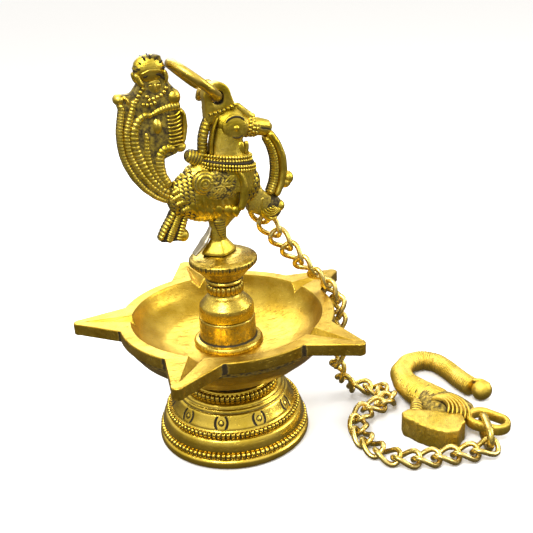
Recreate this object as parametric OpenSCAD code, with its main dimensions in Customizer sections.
// Hanging oil lamp in cast brass: a bell foot, a five-spout dish, a turned stem with a peacock on it,
// a ring through the lug on the peacock's neck, a chain of curb links and a hook shaped as a bird.
// Origin: centre of the foot's underside, on the lamp's axis. +Z up, the peacock looks along +X.

/* [Foot] */
// Radius of the foot at its widest
foot_r = 33.3; // [30:0.1:37]
// Height of the foot up to the joint with the dish
foot_h = 28.3; // [26:0.1:32]
// Wall thickness of the cast foot
foot_wall = 2.6; // [2:0.1:3.5]
// Radius of the foot's flat top, where the dish stands on it
foot_top_r = 17.4; // [16:0.1:18.5]
// Thickness of the foot's top plate
foot_plate_t = 3.2; // [2.5:0.1:4]

/* [Dish] */
// Height of the dish's rim above the surface that the lamp stands on
rim_z = 57.5; // [54:0.1:62]
// Outer radius of the rim between the spouts
rim_r = 45.9; // [43:0.1:50]
// Width of the flat top of the rim
rim_w = 5.3; // [4:0.1:6]
// Height of the rim's outer face
rim_t = 5; // [4:0.1:6]
// Radius from the axis to the tip of a spout
spout_r = 65; // [60:0.5:70]
// Radius that rounds the tip of a spout
spout_tip_r = 2.6; // [2:0.1:3.5]
// Half the width of a spout where it leaves the rim
spout_half_w = 11; // [9:0.1:12]
// Half the width of the wick groove's mouth at the bowl
groove_half_w = 3.3; // [2.6:0.1:4.5]
// Depth of the wick groove at its mouth
groove_depth = 3.4; // [2:0.1:4]
// Height of the dish's floor, where the collar stands
floor_z = 44; // [42:0.1:46]
// Thickness of the dish's floor
floor_t = 4; // [3:0.1:5]
// Radius of the hollow inside the dish's neck
neck_hollow_r = 12.5; // [11:0.1:14]

/* [Stem] */
// Radius of the collar
collar_r = 12; // [11:0.1:13]
// Radius of the flange at the collar's foot
flange_r = 14.8; // [13.5:0.1:16]
// Thickness of the flange
flange_t = 2.4; // [2:0.1:3]
// Height of the collar with its flange
collar_h = 12.3; // [11:0.1:14]
// Radius of the stem's lower drum
drum_r = 11.7; // [10.5:0.1:12.5]
// Radius of the beaded neck of the stem
stem_neck_r = 7; // [6:0.1:8]
// Radius of the disc that carries the peacock
disc_r = 14.3; // [13:0.1:16]
// Height of the stem from the joint with the collar to the top of the disc
stem_h = 28.7; // [26:0.1:32]

/* [Fasteners] */
// Radius of the stud that ties foot, dish and collar together
stud_r = 3; // [2.5:0.1:4]
// Width of the nut across its flats
nut_af = 10; // [9:0.1:12]
// Height of the nut
nut_h = 4.5; // [3.5:0.1:6]
// Radius of the washer under the nut
washer_r = 8; // [6.5:0.1:9]
// Thickness of the washer
washer_t = 1.2; // [0.8:0.1:1.6]
// Radius of the threaded spigot under the stem's drum
spigot_r = 4; // [3.5:0.1:5]
// Length of the spigot
spigot_l = 6; // [5:0.1:7]
// Radius of the peg that holds the peacock in the disc
peg_r = 2.4; // [2:0.1:3]
// Length of the peg
peg_l = 9; // [7:0.5:11]

/* [Peacock] */
// Thickness of the tail plate and of the lug
plate_t = 6; // [5:0.1:7]
// Half the thickness of the peacock's body
body_half_t = 9; // [8:0.1:9.8]
// Radius of the hole in the lug
lug_hole_r = 2.4; // [2.2:0.05:2.8]
// Outer radius of the lug
lug_r = 5.7; // [5:0.1:6.2]

/* [Ring, chain and hook] */
// Radius of the suspension ring, to the middle of its wire
ring_r = 10.8; // [10:0.1:12]
// Wire radius of the suspension ring
ring_wire_r = 1.9; // [1.6:0.05:2]
// Width of the gap in the open ring
ring_gap = 1.4; // [0.8:0.1:2]
// Lean of the ring back onto the tail, from upright, in degrees
ring_lean = 50; // [45:1:56]
// Wire radius of a chain link
link_wire_r = 1.15; // [1:0.05:1.2]
// Outer length of a chain link
link_len = 13.4; // [13:0.1:13.6]
// Outer width of a chain link
link_w = 9.8; // [9.6:0.1:10]
// Free play between two links at full stretch
link_play = 0.4; // [0.3:0.05:0.5]
// Outer length of the jump link that joins chain and hook
jump_len = 20; // [19:0.1:21]
// Outer width of the jump link
jump_w = 12.2; // [12:0.1:12.6]
// Wire radius of the jump link
jump_wire_r = 1.6; // [1.4:0.05:1.7]
// Thickness of the hook's eye
eye_t = 5; // [4.5:0.1:5.2]
// Thickness of the block that the hook's bird stands on
block_t = 10; // [8:0.1:11]

/* [Hidden] */
$fn = 96;
spouts = 5;
first_spout = 18;
fit_gap = 0.05;
collar_top = floor_z + collar_h;
disc_top = collar_top + stem_h;
stud_top = collar_top - spigot_l - 1;
stud_bottom = foot_h - foot_plate_t - washer_t - nut_h - 1.5;
perch_z = 85;
bird_lift = disc_top - perch_z;
lug_x = 1.6;
lug_h = 148.8;
lug_z = lug_h + bird_lift;
hook_z = 6.3;
eye_at = [95.6, -51.8, hook_z];

// Route of the chain: a point, then the way the flat of the links faces there.
route = [
    [[-1.66, 5.5, 151.32], [-1.07, -0.19, 1.67]],
    [[3.12, 9.89, 145.98], [0.45, 0.89, 0.09]],
    [[6, 12.6, 135.6], [0.3, 1, 0]],
    [[11.5, 13.6, 127.2], [0.1, 1, 0]],
    [[15.3, 13.8, 119.5], [0, 1, 0]],
    [[17.8, 13.4, 111.2], [0, 1, 0]],
    [[19.2, 12.6, 102.8], [0.1, 1, 0.1]],
    [[21.4, 11.2, 94.6], [0.2, 1, 0.2]],
    [[25.8, 9.6, 87.4], [0.35, 0.9, 0.3]],
    [[31, 8.2, 80.8], [0.5, 0.75, 0.4]],
    [[35.4, 6.8, 73.8], [0.6, 0.55, 0.5]],
    [[40.6, 4.4, 67.8], [0.7, 0.3, 0.6]],
    [[46.9, 1.4, 62.1], [0.7, 0, 0.7]],
    [[51.9, -1.6, 55], [1, 0, 0.3]],
    [[52.3, -2, 46], [1, 0, 0]],
    [[51.8, -1.6, 29], [1, 0, 0]],
    [[51.6, -0.6, 19], [1, 0, 0.1]],
    [[54.4, -0.6, 11.4], [0.8, 0, 0.5]],
    [[59.6, -0.2, 5.4], [0.4, 0, 1]],
    [[66.2, -1.2, 3.7], [0, 0, 1]],
    [[71.8, -6, 3.6], [0, 0, 1]],
    [[72.4, -14, 4], [0, 0, 1]],
    [[67, -20, 5], [0, 0, 1]],
    [[60, -21, 6], [0, 0, 1]],
    [[52.6, -21.4, 5.2], [0, 0, 1]],
    [[46, -30, 3.6], [0, 0, 1]],
    [[45, -41, 3.4], [0, 0, 1]],
    [[46.4, -50.4, 3.4], [0, 0, 1]],
    [[51, -57.6, 3.4], [0, 0, 1]],
    [[58.6, -61.4, 3.4], [0, 0, 1]],
    [[67, -63.6, 3.4], [0, 0, 1]],
    [[84, -67.4, 3.6], [0, 0, 1]],
    [[95, -69.6, 6], [0, 0, 1]]
];

links = 35;

// ---- helpers: unit vectors, points along the chain's route, smooth curves and swept tubes

function unit(v) = v / norm(v);
function total(v, i = 0) = i == len(v) ? 0 : v[i] + total(v, i + 1);

// Distance along the route to each of its points
step_len = [for (i = [1 : len(route) - 1]) norm(route[i][0] - route[i - 1][0])];
function reach(i) = i == 0 ? 0 : reach(i - 1) + step_len[i - 1];

// Point (k = 0) or facing (k = 1) of the route at distance d
function on_route(d, k, i = 1) = d <= reach(i) || i == len(route) - 1
    ? route[i - 1][k] + (route[i][k] - route[i - 1][k]) * (d - reach(i - 1)) / step_len[i - 1]
    : on_route(d, k, i + 1);

// Smooth curve through points, with n steps between two neighbours (cubic, tangent along the chords)
function along(p, i) = p[max(0, min(len(p) - 1, i))];
function smooth(p, n) = [for (i = [0 : len(p) - 2]) for (j = [0 : n - (i == len(p) - 2 ? 0 : 1)])
    let (t = j / n, a = along(p, i), b = along(p, i + 1),
         u = (b - along(p, i - 1)) / 2, v = (along(p, i + 2) - a) / 2)
    a * (2 * t ^ 3 - 3 * t ^ 2 + 1) + u * (t ^ 3 - 2 * t ^ 2 + t)
    + b * (3 * t ^ 2 - 2 * t ^ 3) + v * (t ^ 3 - t ^ 2)];

// Tube along points: each ring is an ellipse, half[i][0] across the path and half[i][1] along "side"
module tube(path, half, side, sides, closed = false) {
    n = len(path);
    rings = [for (i = [0 : n - 1])
        let (ahead = closed ? path[(i + 1) % n] : path[min(n - 1, i + 1)],
             behind = closed ? path[(i + n - 1) % n] : path[max(0, i - 1)],
             t = unit(ahead - behind),
             a = unit(cross(side, t)),
             b = cross(t, a))
        for (j = [0 : sides - 1])
            path[i] + a * half[i][0] * cos(360 * j / sides) + b * half[i][1] * sin(360 * j / sides)];
    walls = [for (i = [0 : n - (closed ? 1 : 2)]) for (j = [0 : sides - 1])
        [i * sides + j, i * sides + (j + 1) % sides,
         ((i + 1) % n) * sides + (j + 1) % sides, ((i + 1) % n) * sides + j]];
    ends = closed ? [] : [[for (j = [sides - 1 : -1 : 0]) j], [for (j = [0 : sides - 1]) (n - 1) * sides + j]];
    polyhedron(points = rings, faces = concat([for (f = walls) [f[3], f[2], f[1], f[0]]],
        [for (f = ends) [for (k = [len(f) - 1 : -1 : 0]) f[k]]]), convexity = 8);
}

// Moves to the plane y = y0 an outline drawn in X and Z, as a plate with the given thickness
module plate(t, y0 = 0) {
    translate([0, y0 + t / 2, 0])
        rotate([90, 0, 0])
            linear_extrude(t)
                children();
}

// Row of beads round the axis at radius r and height z
module bead_row(r, z, size) {
    count = floor(2 * PI * r / (2.15 * size));
    for (i = [0 : count - 1])
        rotate([0, 0, 360 * i / count])
            translate([r, 0, z])
                sphere(r = size, $fn = 24);
}

// ---- foot

module base_foot() {
    color("goldenrod")
    difference() {
        rotate_extrude()
            difference() {
                polygon([[0, 0], [foot_r - 1.4, 0], [foot_r, 1.6], [foot_r, 3.4], [foot_r - 1.1, 4.6],
                    [foot_r - 1.3, 7.4], [foot_r - 1.9, 8.4], [foot_r - 2.6, 11.4], [foot_r - 3.6, 12.6],
                    [foot_r - 4.4, 13.4], [foot_r - 5.2, 15.2], [foot_r - 7.8, 18.6], [foot_r - 9.8, 21],
                    [foot_r - 10.4, 22.4], [foot_r - 12.2, 24.4], [foot_r - 13.4, 26.4],
                    [foot_top_r + 0.6, foot_h - 0.6], [foot_top_r, foot_h], [0, foot_h]]);
                polygon([[0, -1], [foot_r - foot_wall, -1], [foot_r - foot_wall - 0.6, 5],
                    [foot_r - foot_wall - 3, 11], [foot_r - foot_wall - 7, 16.4],
                    [foot_r - foot_wall - 11.6, 21], [foot_r - foot_wall - 15.4, foot_h - foot_plate_t],
                    [0, foot_h - foot_plate_t]]);
            }
        translate([0, 0, foot_h / 2])
            cylinder(r = stud_r + fit_gap, h = foot_h);
    }
}

// ---- stud, washer and nut inside the foot

module tie_stud() {
    color("darkgoldenrod")
    translate([0, 0, stud_bottom])
        cylinder(r = stud_r, h = stud_top - stud_bottom);
}

module clamp_washer() {
    color("darkgoldenrod")
    translate([0, 0, foot_h - foot_plate_t - washer_t])
        difference() {
            cylinder(r = washer_r, h = washer_t);
            translate([0, 0, -1])
                cylinder(r = stud_r + fit_gap, h = washer_t + 2);
        }
}

module clamp_nut() {
    color("darkgoldenrod")
    translate([0, 0, foot_h - foot_plate_t - washer_t - nut_h])
        difference() {
            cylinder(r = nut_af / sqrt(3), h = nut_h, $fn = 6);
            translate([0, 0, -1])
                cylinder(r = stud_r + fit_gap, h = nut_h + 2);
        }
}

// ---- dish

// Outline of one spout from inside the rim to its rounded tip, along +X
module spout_outline() {
    tip_x = spout_r - spout_tip_r;
    root_x = rim_r - 7;
    lean = atan((spout_half_w - spout_tip_r) / (tip_x - rim_r));
    root_w = spout_half_w + (rim_r - root_x) * tan(lean);
    polygon(concat([[root_x, -root_w]],
        [for (k = [0 : 12]) let (a = (lean - 90) + (180 - 2 * lean) * k / 12)
            [tip_x + spout_tip_r * cos(a), spout_tip_r * sin(a)]],
        [[root_x, root_w]]));
}

module oil_dish() {
    bowl_r = rim_r - rim_w;
    color("gold")
    difference() {
        union() {
            rotate_extrude()
                polygon([[0, foot_h], [foot_top_r, foot_h], [foot_top_r - 0.8, foot_h + 1.4],
                    [foot_top_r - 0.4, foot_h + 2.6], [rim_r - 21, foot_h + 5], [rim_r - 13, rim_z - 19],
                    [rim_r - 6, rim_z - 13], [rim_r - 2.4, rim_z - rim_t - 3], [rim_r - 0.4, rim_z - rim_t - 0.8],
                    [rim_r - 0.4, rim_z - 1.5], [0, rim_z - 1.5]]);
            translate([0, 0, rim_z - rim_t])
                linear_extrude(rim_t)
                    union() {
                        circle(r = rim_r);
                        for (i = [0 : spouts - 1])
                            rotate([0, 0, first_spout + 360 / spouts * i])
                                spout_outline();
                    }
        }
        // The bowl
        rotate_extrude()
            polygon([[0, floor_z], [flange_r + 1.2, floor_z], [bowl_r - 13, floor_z + 1.6],
                [bowl_r - 5, floor_z + 5.4], [bowl_r - 1.4, rim_z - 3.5], [bowl_r + 0.4, rim_z + 1],
                [0, rim_z + 1]]);
        // The hollow in the neck
        translate([0, 0, foot_h - 1])
            cylinder(r = neck_hollow_r, h = floor_z - floor_t - foot_h + 1);
        // The hole for the stud
        translate([0, 0, floor_z - floor_t - 1])
            cylinder(r = stud_r + fit_gap, h = floor_t + 2);
        // The wick grooves
        for (i = [0 : spouts - 1])
            rotate([0, 0, first_spout + 360 / spouts * i])
                wick_groove();
    }
}

// Groove with a V section: a V-shaped bar tilted so that it meets the top near the tip of the spout
module wick_groove() {
    bowl_r = rim_r - rim_w;
    end_x = spout_r - 4.5;
    slope = atan(groove_depth / (end_x - bowl_r));
    tall = 9;
    translate([end_x, 0, rim_z])
        rotate([0, -slope, 0])
            translate([4, 0, 0])
                rotate([0, -90, 0])
                    linear_extrude(end_x - bowl_r + 11)
                        polygon([[0, 0], [tall, -tall * groove_half_w / groove_depth],
                            [tall, tall * groove_half_w / groove_depth]]);
}

// ---- collar and stem

module stem_collar() {
    color("goldenrod")
    translate([0, 0, floor_z])
        difference() {
            rotate_extrude()
                polygon([[0, 0], [flange_r, 0], [flange_r, flange_t - 0.8], [flange_r - 0.8, flange_t],
                    [collar_r, flange_t], [collar_r, collar_h], [0, collar_h]]);
            translate([0, 0, -1])
                cylinder(r = stud_r + fit_gap, h = collar_h);
            translate([0, 0, collar_h - spigot_l - 0.5])
                cylinder(r = spigot_r + fit_gap, h = spigot_l + 2);
        }
}

module stem() {
    color("goldenrod")
    translate([0, 0, collar_top])
        difference() {
            union() {
                rotate_extrude()
                    polygon([[0, 0], [drum_r, 0], [drum_r, 4.4], [drum_r - 0.5, 6], [drum_r - 2, 8],
                        [stem_neck_r + 1.2, 9.6], [stem_neck_r, 10.4], [stem_neck_r, 17.4], [stem_neck_r + 0.8, 18],
                        [disc_r - 3, stem_h - 6.6], [disc_r - 0.6, stem_h - 5], [disc_r, stem_h - 3.6],
                        [disc_r - 0.4, stem_h - 2.2], [disc_r - 2, stem_h - 1.4], [5, stem_h], [0, stem_h]]);
                bead_row(stem_neck_r + 0.2, 14, 1.1);
                translate([0, 0, -spigot_l])
                    cylinder(r = spigot_r, h = spigot_l + 1);
            }
            translate([0, 0, stem_h - peg_l - 0.3])
                cylinder(r = peg_r + fit_gap, h = peg_l + 2);
        }
}

// ---- peacock

// Plate of the tail, with the body of the plate under the bird's back
module tail_outline() {
    difference() {
        polygon([[-24.4, 167], [-28.2, 165.6], [-29.9, 163], [-29.7, 160], [-27.8, 157], [-29.6, 153.2],
            [-32.6, 153], [-35.1, 154.2], [-37.8, 152.6], [-38.2, 150.4], [-36, 148.2], [-36.2, 145.6],
            [-37.3, 141], [-38, 135.4], [-37.6, 130.4], [-36.2, 125.4], [-34, 120], [-30.4, 115], [-25.8, 111],
            [-20, 107.4], [-8, 104], [-4, 118], [-5, 127], [-9, 129.5], [-12.2, 128.6], [-12.8, 134.7],
            [-11.3, 139.4], [-11.3, 143.8], [-12.8, 146], [-12.6, 151], [-15.4, 154.4], [-17, 157],
            [-17.5, 160], [-17.6, 164], [-20.6, 166.6]]);
        polygon([[-18.4, 127.2], [-13.8, 127.2], [-11.4, 124.8], [-9.6, 121.6], [-12.2, 118.8], [-19.2, 118.4],
            [-20.6, 121.6], [-20.4, 124.8]]);
    }
}

module peacock() {
    color("darkgoldenrod")
    translate([0, 0, bird_lift])
    difference() {
        union() {
            // Tail
            plate(plate_t)
                tail_outline();
            // Body, from the rump to the chest
            tube(smooth([[-20.5, 0, 107.5], [-15, 0, 109.5], [-6, 0, 111.5], [4, 0, 112], [12, 0, 111.2],
                [17.2, 0, 109.6]], 2),
                [for (t = [0 : 10]) let (k = sin(15 + 15 * t)) [3 + 10.6 * k, 1 + (body_half_t - 1) * k]],
                [0, 1, 0], 20);
            // Breast and neck
            tube(smooth([[7, 0, 110], [6.4, 0, 120], [5, 0, 128], [5.2, 0, 134], [7.4, 0, 139.6]], 3),
                [for (t = [0 : 12]) [t < 4 ? 11 - 0.4 * t : 9.4 - 0.16 * (t - 4), t < 6 ? 7.4 : 6.4]],
                [0, 1, 0], 20);
            // Head and beak
            tube(smooth([[1.6, 0, 139.4], [4.4, 0, 138.6], [9, 0, 137.4], [14, 0, 136], [19.4, 0, 134.6],
                [24.4, 0, 132.8]], 2),
                [for (t = [0 : 10]) [3.4 + 4 * sin(min(180, 26 * t + 30)), t < 6 ? 5.8 : 5.8 - 0.8 * (t - 5)]],
                [0, 1, 0], 16);
            // Lug
            translate([lug_x, plate_t / 2, lug_h])
                rotate([90, 0, 0])
                    cylinder(r = lug_r, h = plate_t);
            plate(plate_t)
                polygon([[lug_x - 4.6, 138], [lug_x - 5.6, lug_h], [lug_x + 5.6, lug_h], [10.5, 138]]);
            // Garland that hangs from the beak, and its curl at the chest
            tube(smooth([[23.4, 0, 132], [25.6, 0, 124], [27.2, 0, 116.6], [26.6, 0, 111]], 4),
                [for (t = [0 : 12]) [3.2 + 0.5 * sin(15 * t), 3]], [0, 1, 0], 12);
            translate([28, plate_t / 2, 110.4])
                rotate([90, 0, 0])
                    cylinder(r = 4.6, h = plate_t);
            translate([23.2, plate_t / 2, 99.6])
                rotate([90, 0, 0])
                    cylinder(r = 5, h = plate_t);
            plate(plate_t)
                polygon([[12, 99.5], [23.2, 94.6], [27, 103], [27, 108], [16, 116], [8, 112]]);
            // Plume bundle under the rump
            plate(plate_t)
                polygon([[-20.4, 109], [-24, 100.6], [-27.4, 94.6], [-23, 92.6], [-16.8, 91.8], [-14.2, 95],
                    [-15.4, 98.4], [-12.4, 101.4], [-4, 100.4], [-4, 110]]);
            // Leg and plinth
            tube([[0.6, 0, 103], [-0.6, 0, 99], [-1.4, 0, 95.4], [-1.4, 0, 91], [-1.4, 0, perch_z]],
                [[8, 6], [4.6, 4.6], [3.4, 3.6], [4.8, 4.2], [7.4, 5.6]], [0, 1, 0], 16);
        }
        translate([lug_x, plate_t, lug_h])
            rotate([90, 0, 0])
                cylinder(r = lug_hole_r, h = 2 * plate_t);
    }
    color("darkgoldenrod")
    translate([0, 0, disc_top - peg_l])
        cylinder(r = peg_r, h = peg_l + 1);
}

// ---- suspension ring, open by a small gap on its far side

module suspension_ring() {
    half_gap = asin(ring_gap / 2 / ring_r);
    color("goldenrod")
    translate([lug_x, 0, lug_z])
        rotate([0, -ring_lean, 0])
            translate([0, 0, ring_r])
                rotate([0, 90, 0])
                    rotate([0, 0, 52 + half_gap])
                        rotate_extrude(angle = 360 - 2 * half_gap)
                            translate([ring_r, 0])
                                circle(r = ring_wire_r, $fn = 32);
}

// ---- chain

link_a = link_len / 2 - link_wire_r;
link_b = link_w / 2 - link_wire_r;
link_pitch = 2 * link_a - 2 * link_wire_r - link_play;

// Curb link: an oval whose two ends are turned a quarter turn from each other, along X
function link_curve(n) = [for (i = [0 : n - 1]) let (t = 360 * i / n)
    [link_a * cos(t), link_b * sin(t), link_b / 2 * sin(2 * t)]];

function link_name(i) = str("chain_link_", i < 9 ? "0" : "", i + 1);

module chain_link(i) {
    p0 = on_route(i * link_pitch, 0);
    p1 = on_route((i + 1) * link_pitch, 0);
    face = on_route((i + 0.5) * link_pitch, 1);
    x = unit(p1 - p0);
    y = unit(cross(face, x));
    z = cross(x, y);
    c = (p0 + p1) / 2;
    color("goldenrod")
    tube([for (p = link_curve(16)) c + x * p[0] + y * p[1] + z * p[2]],
        [for (k = [1 : 16]) [link_wire_r, link_wire_r]], z, 8, closed = true);
}

// ---- jump link and hook

jump_end = on_route(links * link_pitch - 1.7, 0);

module jump_link() {
    run = unit([jump_end[0] - eye_at[0], jump_end[1] - eye_at[1], 0]);
    heading = atan2(run[1], run[0]);
    color("goldenrod")
    translate([jump_end[0], jump_end[1], hook_z])
        rotate([0, 0, heading + 180])
            translate([jump_len / 2 - jump_wire_r, 0, 0])
                rotate([90, 0, 0])
                    racetrack(jump_len, jump_w, jump_wire_r);
}

// Flat oval ring of wire in the XY plane
module racetrack(l, w, r) {
    bend_r = w / 2 - r;
    straight = l - w;
    for (s = [0, 180])
        rotate([0, 0, s]) {
            translate([straight / 2, 0, 0])
                rotate([0, 0, -90])
                    rotate_extrude(angle = 180)
                        translate([bend_r, 0])
                            circle(r = r, $fn = 32);
            translate([-straight / 2, bend_r, 0])
                rotate([0, 90, 0])
                    cylinder(r = r, h = straight, $fn = 32);
        }
}

module bird_hook() {
    color("goldenrod")
    difference() {
        union() {
            // Neck that curls back as the hook, and the head at its tip
            tube(smooth([[86.4, -31, 6], [83.6, -21, 6], [83.2, -10, 5.4], [87, 0.8, 4.9], [95.6, 7.6, 4.8],
                [103.4, 7.4, 4.7], [108, 1.6, 4.7], [108.8, -7, 4.7], [108.6, -17, 4.7], [109.6, -26, 4.8]], 3),
                [for (t = [0 : 27]) t < 8 ? [8.6 - 0.5 * t, 5.8 - 0.13 * t] : [4.6, 4.6]],
                [0, 0, 1], 12);
            translate([112, -29.6, 5])
                sphere(r = 5, $fn = 48);
            // Body with its folded wing
            tube(smooth([[82, -25, 6.2], [86.4, -33, 6.2], [90.4, -40.4, hook_z], [94, -46.4, hook_z]], 3),
                [for (t = [0 : 9]) [6 + 4 * sin(20 * t), 6 - 0.25 * t]], [0, 0, 1], 16);
            // Leg
            tube([[79.4, -27, 5], [74.6, -32, 4.6], [70.6, -38, 4.4]],
                [for (t = [0 : 2]) [3.4, 3.4]], [0, 0, 1], 12);
            // Eye
            translate([eye_at[0], eye_at[1], hook_z - eye_t / 2])
                linear_extrude(eye_t)
                    hull() {
                        circle(r = 7.2, $fn = 48);
                        translate([3.4, -5.6])
                            circle(r = 6.4, $fn = 48);
                    }
            // Block that the bird stands on
            linear_extrude(block_t)
                polygon([[63.6, -38.6], [68, -34.6], [78, -40.4], [88, -48], [86, -54], [79.2, -58.6],
                    [73.6, -57], [67.6, -49.6]]);
        }
        translate([eye_at[0], eye_at[1], 0])
            hull() {
                cylinder(r = 3.9, h = 14);
                translate([3.4, -5.6, 0])
                    cylinder(r = 3.5, h = 14);
            }
    }
}

base_foot();
tie_stud();
clamp_washer();
clamp_nut();
oil_dish();
stem_collar();
stem();
peacock();
suspension_ring();
jump_link();
bird_hook();
for (i = [0 : links - 1])
    chain_link(i);
